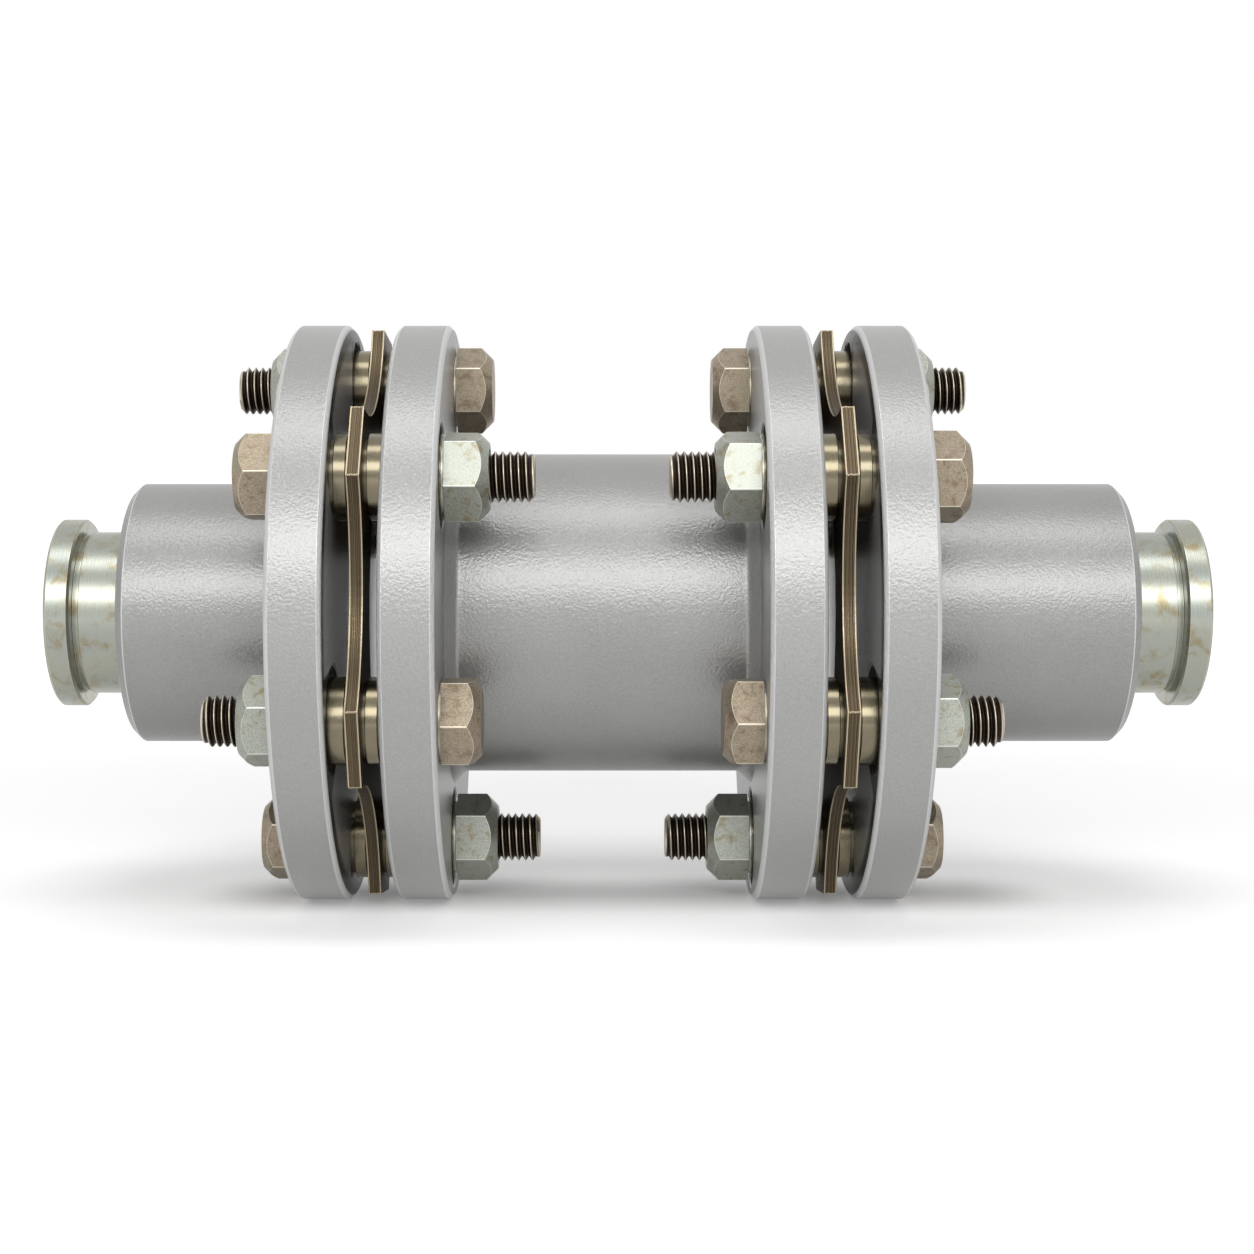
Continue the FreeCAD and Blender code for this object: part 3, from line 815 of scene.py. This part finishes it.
def nut_mesh():
    """A nut: it seats at x = 0 and runs along +X."""
    mouth = NUT_BORE_RADIUS + NUT_COUNTERSINK
    columns = []
    for angle in hexagon_angles():
        corners = hexagon_side(hexagon_distance(angle), NUT_HEIGHT) + (
            (0, mouth, 0),
            (NUT_COUNTERSINK, NUT_BORE_RADIUS, 0),
            (NUT_HEIGHT - NUT_COUNTERSINK, NUT_BORE_RADIUS, TURNED_ROUNDING),
            (NUT_HEIGHT, mouth, TURNED_ROUNDING),
        )
        columns.append([spin(x, radius, angle) for x, radius in soften(corners)])
    return skin("nut", columns)


# The thread's section over one pitch: place along it and depth, both as shares
THREAD_SECTION = (
    (0.0, 0.08), (0.035, 0.0), (0.1, 0.0), (0.135, 0.08), (0.47, 0.94), (0.57, 1.0), (0.665, 0.94),
)
RUN_OUT = 1.5 * THREAD_PITCH


def point_radius(x, length):
    """The radius of the bolt's chamfered point, which the thread doesn't pass."""
    return min(BOLT_RADIUS, BOLT_RADIUS - BOLT_POINT + length - x)


def thread_column(angle, length):
    """The thread's points at one angle, from its run-out to the bolt's point."""
    points = []
    begin = length - THREAD_LENGTH
    lead = angle / (2 * pi) * THREAD_PITCH
    turns = int(THREAD_LENGTH / THREAD_PITCH)
    # Two turns to spare at both ends; their points are drawn in to the thread's ends
    for turn in range(-2, turns + 3):
        for share, depth in THREAD_SECTION:
            x = begin + (turn + share) * THREAD_PITCH + lead
            x = min(max(x, begin), length)
            fade = min(1, (x - begin) / RUN_OUT)
            radius = min(BOLT_RADIUS - depth * THREAD_DEPTH * fade, point_radius(x, length))
            if x == length:
                radius = point_radius(x, length)
            points.append(spin(x, radius, angle))
    points.append(spin(length, point_radius(length, length) - CORNER_LINE, angle))
    points.append(Vector((length, 0, 0)))
    return points


def bolt_mesh(length):
    """A bolt: its head seats at x = 0 and its shank runs along +X."""
    columns = []
    for angle in hexagon_angles():
        side = hexagon_side(hexagon_distance(angle), HEAD_HEIGHT)
        corners = ((HEAD_HEIGHT, 0, 0),) + side + ((0, BOLT_RADIUS, 0),)
        head = [spin(-x, radius, angle) for x, radius in soften(corners)]
        columns.append(head + thread_column(angle, length))
    mesh = skin("bolt", columns)
    # How deep each point lies in the thread; the bolts' finish paints shade into the deepest points.
    recess = mesh.attributes.new("recess", "FLOAT", "POINT")
    for vertex, depth in zip(mesh.vertices, recess.data):
        x, y, z = vertex.co
        if length - THREAD_LENGTH < x < length - WELD_DISTANCE:
            depth.value = max(0, (point_radius(x, length) - sqrt(y * y + z * z)) / THREAD_DEPTH)
    return mesh


# Disc packs

def waist_arc(middle):
    """Points of one waist, from one lobe's corner round to the next lobe's."""
    corner_square = LOBE_REACH ** 2 + LOBE_HALF_WIDTH ** 2
    chord_middle = LOBE_REACH * cos(pi / 6) + LOBE_HALF_WIDTH * sin(pi / 6)
    centre = (corner_square - WAIST_RADIUS ** 2) / 2 / (chord_middle - WAIST_RADIUS)
    radius = centre - WAIST_RADIUS
    half_chord = LOBE_REACH * sin(pi / 6) - LOBE_HALF_WIDTH * cos(pi / 6)
    sweep = atan(half_chord / (centre - chord_middle))
    points = []
    for step in range(WAIST_STEPS + 1):
        turned = sweep * (2 * step / WAIST_STEPS - 1)
        away = centre - radius * cos(turned)
        aside = radius * sin(turned)
        points.append(Vector((0, -away * sin(middle) - aside * cos(middle),
                              away * cos(middle) - aside * sin(middle))))
    return points


def disc_mesh(thickness):
    """One lamination, centred on x = 0: lobes, waists, an open middle and six bolt holes."""
    shape = bmesh.new()
    corners = [point for step in range(BOLT_COUNT) for point in waist_arc((step + 0.5) * BOLT_STEP)]
    outline = []
    for here, following in zip(corners, corners[1:] + corners[:1]):
        outline.append(here)
        if (following - here).length > 4 * CORNER_LINE:
            towards = (following - here).normalized() * CORNER_LINE
            outline.extend((here + towards, following - towards))
    loops = [outline, circle_points(DISC_BORE_RADIUS, FLANGE_SEGMENTS)]
    for lobe in range(BOLT_COUNT):
        centre = spin(0, BOLT_CIRCLE_RADIUS, lobe * BOLT_STEP)
        hole = circle_points(BOLT_HOLE_RADIUS, HOLE_SEGMENTS)
        loops.append([centre + point for point in hole])
    for loop in loops:
        verts = [shape.verts.new(point) for point in loop]
        for here, following in zip(verts, verts[1:] + verts[:1]):
            shape.edges.new((here, following))
    bmesh.ops.triangle_fill(shape, use_beauty=True, edges=shape.edges, normal=(1, 0, 0))
    raised = bmesh.ops.extrude_face_region(shape, geom=shape.faces)["geom"]
    verts = [item for item in raised if isinstance(item, bmesh.types.BMVert)]
    bmesh.ops.translate(shape, verts=verts, vec=(thickness, 0, 0))
    bmesh.ops.translate(shape, verts=shape.verts, vec=(-thickness / 2, 0, 0))
    bmesh.ops.recalc_face_normals(shape, faces=shape.faces)
    rims = [edge for edge in shape.edges
            if edge.calc_face_angle(0) > RIM_BEND and rise(edge) < WELD_DISTANCE]
    bmesh.ops.bevel(shape, geom=rims, offset=LAMINATION_BEVEL, segments=1, affect="EDGES")
    # Only the edges across the rim, at the lobes' corners, are marked here
    return to_mesh(shape, "disc", lambda edge: rise(edge) > thickness / 2)


# Geometry node trees for what repeats

def new_tree(name, inputs):
    """A geometry node tree with named inputs: name, socket type."""
    tree = bpy.data.node_groups.new(name, "GeometryNodeTree")
    for label, kind in inputs:
        tree.interface.new_socket(label, in_out="INPUT", socket_type=f"NodeSocket{kind}")
    tree.interface.new_socket("Geometry", in_out="OUTPUT", socket_type="NodeSocketGeometry")
    return tree, tree.nodes.new("NodeGroupInput").outputs, tree.nodes.new("NodeGroupOutput").inputs


def place_copies(tree, given, result, position, rotation):
    """Puts a copy of the piece at each of Count points, makes them real and gives the finish."""
    points = add_node(tree, "GeometryNodePoints", {"Count": given["Count"], "Position": position})
    source = add_node(tree, "GeometryNodeObjectInfo", {"Object": given["Piece"]})
    copies = add_node(tree, "GeometryNodeInstanceOnPoints", {
        "Points": points.outputs[0], "Instance": source.outputs["Geometry"], "Rotation": rotation,
    })
    real = add_node(tree, "GeometryNodeRealizeInstances", {"Geometry": copies.outputs[0]})
    dressed = add_node(tree, "GeometryNodeSetMaterial", {
        "Geometry": real.outputs[0], "Material": given["Finish"],
    })
    tree.links.new(dressed.outputs[0], result["Geometry"])


def make_ring_tree():
    """Copies of a fastener evenly round the axis, each turned a little on its own axis."""
    tree, given, result = new_tree("fastener_ring", (
        ("Piece", "Object"), ("Finish", "Material"), ("Count", "Int"), ("Circle Radius", "Float"),
        ("Seat", "Float"), ("First Angle", "Float"), ("Turns", "Vector"), ("Facing", "Float"),
    ))
    index = tree.nodes.new("GeometryNodeInputIndex").outputs[0]
    step = arithmetic(tree, "DIVIDE", 2 * pi, given["Count"])
    angle = arithmetic(tree, "MULTIPLY_ADD", index, step, given["First Angle"])
    across = arithmetic(tree, "MULTIPLY", arithmetic(tree, "SINE", angle), given["Circle Radius"])
    up = arithmetic(tree, "MULTIPLY", arithmetic(tree, "COSINE", angle), given["Circle Radius"])
    position = add_node(tree, "ShaderNodeCombineXYZ", {
        "X": given["Seat"], "Y": arithmetic(tree, "MULTIPLY", across, -1.0), "Z": up,
    })
    turns = add_node(tree, "ShaderNodeSeparateXYZ", {0: given["Turns"]}).outputs
    own_turn = tree.nodes.new("GeometryNodeIndexSwitch")
    own_turn.data_type = "FLOAT"
    # The switch comes with two items, and a group of fasteners has three
    own_turn.index_switch_items.new()
    tree.links.new(index, own_turn.inputs["Index"])
    for number in range(BOLT_COUNT // 2):
        tree.links.new(turns[number], own_turn.inputs[str(number)])
    whole = arithmetic(tree, "ADD", angle, own_turn.outputs[0])
    facing = arithmetic(tree, "COSINE", given["Facing"])
    euler = add_node(tree, "ShaderNodeCombineXYZ", {
        "X": arithmetic(tree, "MULTIPLY", whole, facing), "Z": given["Facing"],
    })
    rotation = add_node(tree, "FunctionNodeEulerToRotation", {0: euler.outputs[0]})
    place_copies(tree, given, result, position.outputs[0], rotation.outputs[0])
    return tree


def make_stack_tree():
    """A stack of discs along the axis, each slipped a little within the play of its holes."""
    tree, given, result = new_tree("disc_stack", (
        ("Piece", "Object"), ("Finish", "Material"), ("Count", "Int"), ("Thickness", "Float"),
        ("Middle", "Float"), ("Slip", "Float"), ("Seed", "Int"),
    ))
    index = tree.nodes.new("GeometryNodeInputIndex").outputs[0]
    middle_index = arithmetic(tree, "MULTIPLY_ADD", given["Count"], 0.5, -0.5)
    steps = arithmetic(tree, "SUBTRACT", index, middle_index)
    along = arithmetic(tree, "MULTIPLY_ADD", steps, given["Thickness"], given["Middle"])
    slips = add_node(tree, "FunctionNodeRandomValue", {
        0: (-1.0, -1.0, -1.0), 1: (1.0, 1.0, 1.0), "Seed": given["Seed"],
    }, data_type="FLOAT_VECTOR")
    slip = add_node(tree, "ShaderNodeSeparateXYZ", {0: slips.outputs[0]}).outputs
    position = add_node(tree, "ShaderNodeCombineXYZ", {
        "X": along,
        "Y": arithmetic(tree, "MULTIPLY", slip[1], given["Slip"]),
        "Z": arithmetic(tree, "MULTIPLY", slip[2], given["Slip"]),
    })
    rotation = add_node(tree, "FunctionNodeEulerToRotation")
    place_copies(tree, given, result, position.outputs[0], rotation.outputs[0])
    return tree


def grown(tree, values):
    """The plain mesh that a geometry node tree gives for its inputs' values."""
    host = new_piece("host", bpy.data.meshes.new("host"))
    modifier = host.modifiers.new("copies", "NODES")
    modifier.node_group = tree
    for item in tree.interface.items_tree:
        if item.in_out == "INPUT":
            modifier[item.identifier] = values[item.name]
    return worked_in(host)


def make_fasteners(side, masters, tree):
    """Bolts, nuts, washers and bushes of one disc pack, in groups as the construction has them."""
    sign = -1 if side == "left" else 1
    # For each side that the heads are on: the far side, the bolt that suits, the seats of bolt,
    # washer, bush and nut, and which way they face
    layouts = (
        ("spacer", "hub", "short_bolt", (SPACER_BACK, SPACER_FACE, PACK_OUTER, HUB_NUT_SEAT), 0.0),
        ("hub", "spacer", "long_bolt", (HUB_BACK, HUB_FACE, PACK_INNER, SPACER_NUT_SEAT), pi),
    )
    for near, far, bolt, (head_x, washer_x, bush_x, nut_x), facing in layouts:
        kinds = (
            (bolt, f"{near}_side_bolts", head_x, HEAD_TURNS[near], BRONZE_PLATE, "bronze_plate"),
            ("washer", f"{near}_side_washers", washer_x, (0, 0, 0), GILT_PLATE, "gilt_plate"),
            (f"{far}_bush", f"{far}_side_bushes", bush_x, (0, 0, 0), GILT_PLATE, "gilt_plate"),
            ("nut", f"{far}_side_nuts", nut_x, NUT_TURNS[near], PALE_ZINC, "pale_zinc"),
        )
        for master, group, seat, turns, material, slot in kinds:
            mesh = grown(tree, {
                "Piece": masters[master], "Finish": material, "Count": BOLT_COUNT // 2,
                "Circle Radius": BOLT_CIRCLE_RADIUS, "Seat": seat,
                "First Angle": FIRST_ANGLES[near], "Facing": facing,
                "Turns": [sign * radians(turn) for turn in turns],
            })
            finished(f"{side}_{group}_set", mesh, material, f"{side}_{group}", side)


def make_pack(side, master, tree, seed):
    """A stack of discs, the outermost of which have a painted highlight along their cut edges."""
    mesh = grown(tree, {
        "Piece": master, "Finish": SPRING_STEEL, "Count": LAMINATIONS,
        "Thickness": PACK_THICKNESS / LAMINATIONS, "Middle": PACK_MIDDLE,
        "Slip": DISC_SLIP, "Seed": seed,
    })
    # The discs with the painted highlight on their cut edges lie outside the core, half a pack less
    # one disc to each side
    core = PACK_THICKNESS / 2 - PACK_THICKNESS / LAMINATIONS
    for vertex, bend in zip(mesh.vertices, mesh.attributes["edge"].data):
        if abs(vertex.co.x - PACK_MIDDLE) > core + LAMINATION_BEVEL / 2:
            bend.value = pi / 2
    finished(f"{side}_discs", mesh, SPRING_STEEL, f"{side}_disc_pack", side)


# Camera, floor, light

# The photo: its width, the size of a pixel at the depth of the axis, and the axis's row
FRAME_PIXELS = 1254
PIXEL_SIZE = 0.2553 * MM
AXIS_ROW = 612.5
CAMERA_DISTANCE = 0.565
CAMERA_ELEVATION = radians(4.1)
SENSOR_WIDTH = 36.0
CLIP_START = 10 * MM
LAMP_DISTANCE = 1.5
# Name, elevation, width, height in metres and power in watts of each lamp in front
LAMPS = (
    ("front_lamp", radians(29), 1.7, 0.55, 12.5),
    ("overhead_lamp", radians(78), 1.2, 0.45, 5.5),
)
SOFT_LIGHT = 0.1
FLOOR_HALF = 30.0
FLOOR_GREY = 0.80
# The coupling stands on this much of the floor, to each side of the middle
STAND_HALF = 85 * MM
# Glows that lift the floor toward white for the camera: each one rises, between two distances
# from that stretch, from its first strength to its second, and they add up. They are weakest
# next to the coupling, which paints a contact shadow there beside the lamps' own shadow
FLOOR_LIFTS_WITH_PAINTED_SHADOW = (
    (0.0, 30 * MM, 0.18, 0.46),
    (30 * MM, 100 * MM, 0.0, 0.18),
    (200 * MM, 700 * MM, 0.0, 0.4),
)


def set_in_front(thing, target, elevation, distance):
    """Puts a camera or a lamp in front of a target, raised by an elevation, and aims it there."""
    away = Vector((0, -cos(elevation), sin(elevation)))
    thing.location = target + away * distance
    thing.rotation_euler = (-away).to_track_quat("-Z", "Y").to_euler()


def make_camera():
    """In front of the spacer's middle, with the picture's middle a little below the axis."""
    data = bpy.data.cameras.new("camera")
    data.sensor_width = SENSOR_WIDTH
    data.lens = SENSOR_WIDTH * CAMERA_DISTANCE / (PIXEL_SIZE * FRAME_PIXELS)
    data.clip_start = CLIP_START
    data.shift_x = -CENTRE_SHIFT / (PIXEL_SIZE * FRAME_PIXELS)
    camera = new_piece("camera", data)
    target = Vector((CENTRE_SHIFT, 0, -(FRAME_PIXELS / 2 - AXIS_ROW) * PIXEL_SIZE))
    set_in_front(camera, target, CAMERA_ELEVATION, CAMERA_DISTANCE)
    bpy.context.scene.camera = camera


def background_rays(tree):
    """1 for rays that should see the white studio: from the camera, from gloss and through glass."""
    path = tree.nodes.new("ShaderNodeLightPath").outputs
    either = arithmetic(tree, "MAXIMUM", path["Is Camera Ray"], path["Is Glossy Ray"])
    return arithmetic(tree, "MAXIMUM", either, path["Is Transmission Ray"])


def make_floor():
    """A pale floor that keeps the coupling's shadow from the lamps, with a painted shadow where its
    glow is weaker near the coupling, and fades into the white studio.
    """
    shape = bmesh.new()
    bmesh.ops.create_grid(shape, x_segments=1, y_segments=1, size=FLOOR_HALF)
    bmesh.ops.translate(shape, verts=shape.verts, vec=(0, 0, -FLANGE_RADIUS))
    floor = new_piece("floor", to_mesh(shape, "floor"))
    material, tree, shader, place = new_material("pale_floor", Roughness=0.7)
    shader.inputs["Base Color"].default_value = opaque((FLOOR_GREY, FLOOR_GREY, FLOOR_GREY))
    shader.inputs["Specular IOR Level"].default_value = 0.0
    shader.inputs["Emission Color"].default_value = (1, 1, 1, 1)
    split = add_node(tree, "ShaderNodeSeparateXYZ", {0: place}).outputs
    past_end = arithmetic(tree, "SUBTRACT", arithmetic(tree, "ABSOLUTE", split["X"]), STAND_HALF)
    aside = add_node(tree, "ShaderNodeCombineXYZ", {
        "X": arithmetic(tree, "MAXIMUM", past_end, 0.0), "Y": split["Y"],
    })
    away = length_of(tree, aside.outputs[0])
    # Painted shadow: the glow is weaker near where the coupling stands, so the floor is darker there
    # for the camera and in reflections.
    lift = 0.0
    for near, far, low, high in FLOOR_LIFTS_WITH_PAINTED_SHADOW:
        lift = arithmetic(tree, "ADD", spread(tree, away, near, far, low, high), lift)
    seen = arithmetic(tree, "MULTIPLY", background_rays(tree), lift)
    feed(tree, shader.inputs["Emission Strength"], seen)
    floor.data.materials.append(material)


def make_world():
    """A weak soft light from all round, which the camera and gloss see as white."""
    world = bpy.data.worlds.new("studio")
    bpy.context.scene.world = world
    world.use_nodes = True
    tree = world.node_tree
    tree.nodes.clear()
    soft = add_node(tree, "ShaderNodeBackground", {"Color": (1, 1, 1, 1), "Strength": SOFT_LIGHT})
    white = add_node(tree, "ShaderNodeBackground", {"Color": (1, 1, 1, 1), "Strength": 1.0})
    mixed = add_node(tree, "ShaderNodeMixShader", {
        0: background_rays(tree), 1: soft.outputs[0], 2: white.outputs[0],
    })
    add_node(tree, "ShaderNodeOutputWorld", {"Surface": mixed.outputs[0]})


def make_lamp(name, elevation, width, height, power):
    """A soft lamp that looks at the coupling's middle from the front."""
    data = bpy.data.lights.new(name, "AREA")
    data.shape = "RECTANGLE"
    data.size = width
    data.size_y = height
    data.energy = power
    set_in_front(new_piece(name, data), Vector(), elevation, LAMP_DISTANCE)


make_camera()
make_floor()
make_world()
for lamp in LAMPS:
    make_lamp(*lamp)

ring_tree = make_ring_tree()
stack_tree = make_stack_tree()
masters = {
    "short_bolt": new_piece("short_bolt_master", bolt_mesh(SHORT_BOLT_LENGTH)),
    "long_bolt": new_piece("long_bolt_master", bolt_mesh(LONG_BOLT_LENGTH)),
    "nut": new_piece("nut_master", nut_mesh()),
    "washer": new_piece("washer_master", washer_mesh()),
    "hub_bush": new_piece("hub_bush_master", bush_mesh(HUB_NUT_SEAT - PACK_OUTER)),
    "spacer_bush": new_piece("spacer_bush_master", bush_mesh(PACK_INNER - SPACER_NUT_SEAT)),
    "disc": new_piece("disc_master", disc_mesh(PACK_THICKNESS / LAMINATIONS)),
}
make_spacer()
for seed, side in enumerate(SIDES, start=1):
    make_hub(side)
    make_sleeve(side)
    make_pack(side, masters["disc"], stack_tree, seed)
    make_fasteners(side, masters, ring_tree)
for master in masters.values():
    bpy.data.objects.remove(master)

bpy.context.scene.view_settings.view_transform = "Standard"
